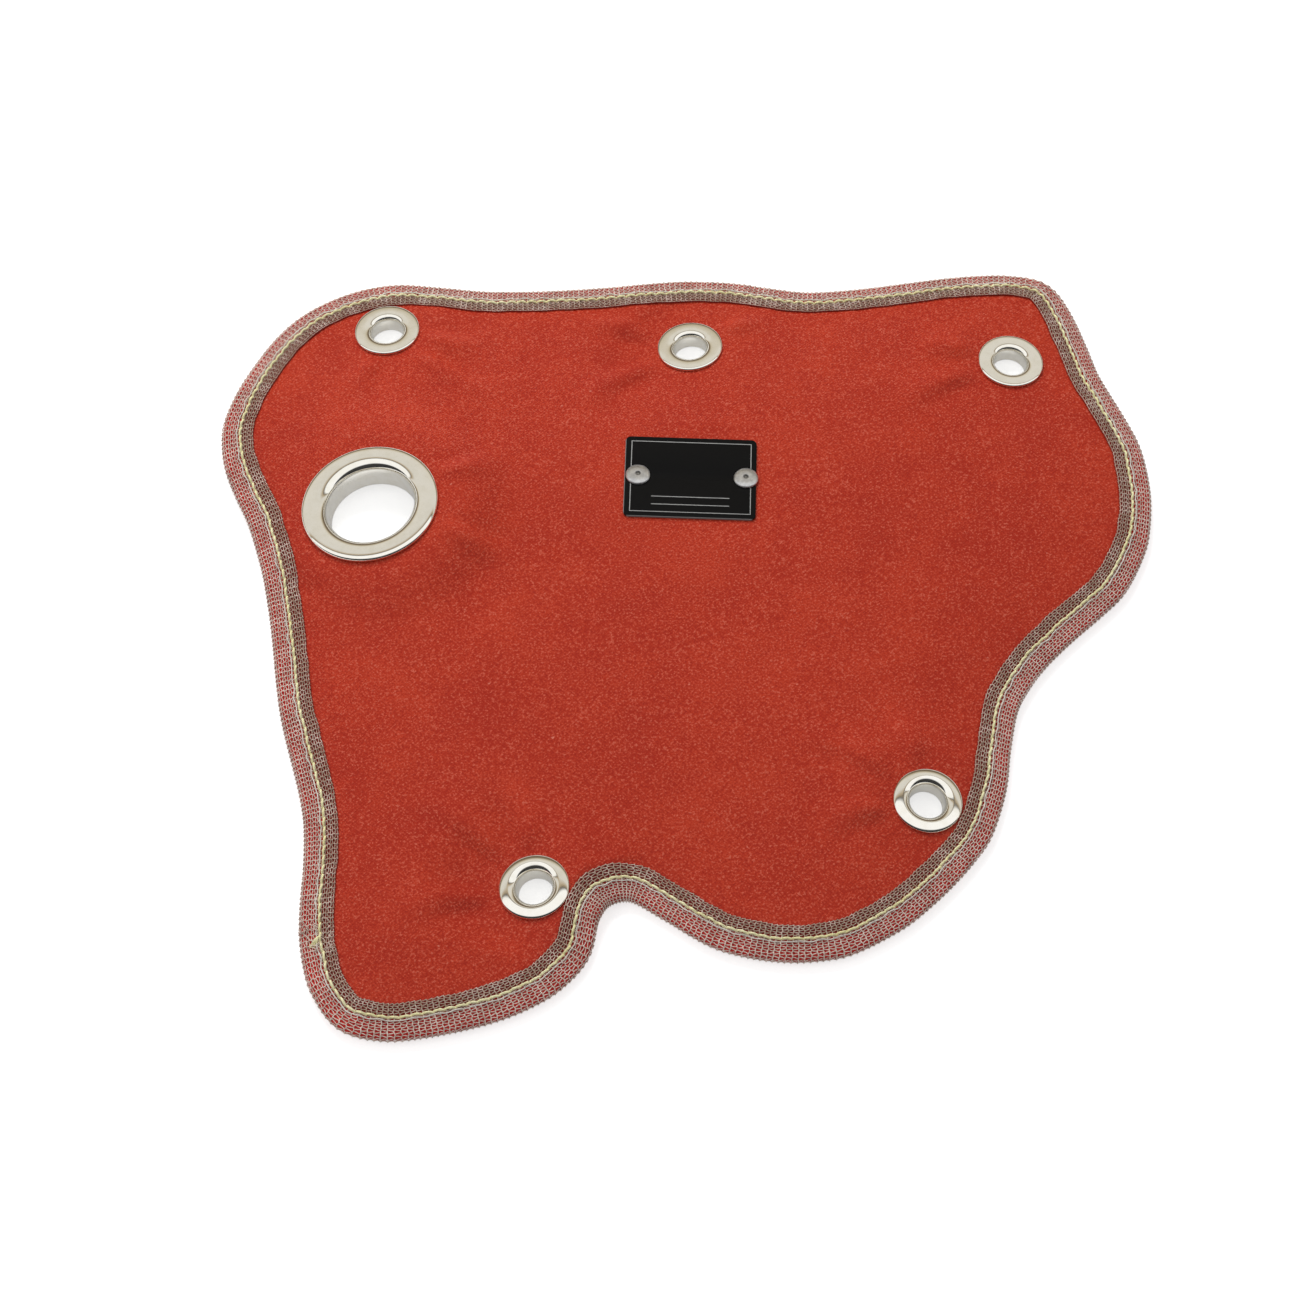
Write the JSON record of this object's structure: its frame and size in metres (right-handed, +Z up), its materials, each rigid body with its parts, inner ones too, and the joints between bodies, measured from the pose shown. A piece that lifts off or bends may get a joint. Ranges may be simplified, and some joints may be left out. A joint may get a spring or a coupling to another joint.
{
  "type": "turbo heat blanket",
  "caption": "Flat quilted turbocharger heat blanket: red coated cloth over insulation, knitted wire edge binding, nickel eyelets, a large port eyelet and a bare riveted plate.",
  "frame": {"origin": "at table height under the middle of the blanket's bounding box, the blanket lying with its face cloth up", "axes": "+Z up out of the face cloth, +X to the right along the longer side, +Y towards the edge with three eyelets"},
  "size_m": [0.3618, 0.3476, 0.0198],
  "materials": {
    "red_cloth": "silicone-coated woven glass, satin",
    "wool": "needled ceramic wool, matte",
    "back_cloth": "plain woven silica cloth, matte",
    "knitted_wire": "knitted stainless wire over red cloth",
    "thread": "spun aramid sewing thread",
    "nickel": "polished nickel plate, warm",
    "black_plate": "black anodised, satin",
    "rivet": "bright drawn aluminium",
    "mandrel": "broken steel stem"
  },
  "bodies": {
    "root": {"back_cloth": "back_cloth", "back_seam_thread": "thread", "edge_binding": "knitted_wire", "eyelet_lower_left": "nickel", "eyelet_lower_left_washer": "nickel", "eyelet_lower_right": "nickel", "eyelet_lower_right_washer": "nickel", "eyelet_top_left": "nickel", "eyelet_top_left_washer": "nickel", "eyelet_top_middle": "nickel", "eyelet_top_middle_washer": "nickel", "eyelet_top_right": "nickel", "eyelet_top_right_washer": "nickel", "face_cloth": "red_cloth", "face_seam_thread": "thread", "insulation_core": "wool", "name_plate": "black_plate", "plate_rivet_left": "rivet", "plate_rivet_right": "rivet", "port_eyelet": "nickel", "port_eyelet_washer": "nickel", "rivet_mandrel_left": "mandrel", "rivet_mandrel_right": "mandrel", "rivet_washer_left": "rivet", "rivet_washer_right": "rivet"}
  },
  "joints": []
}
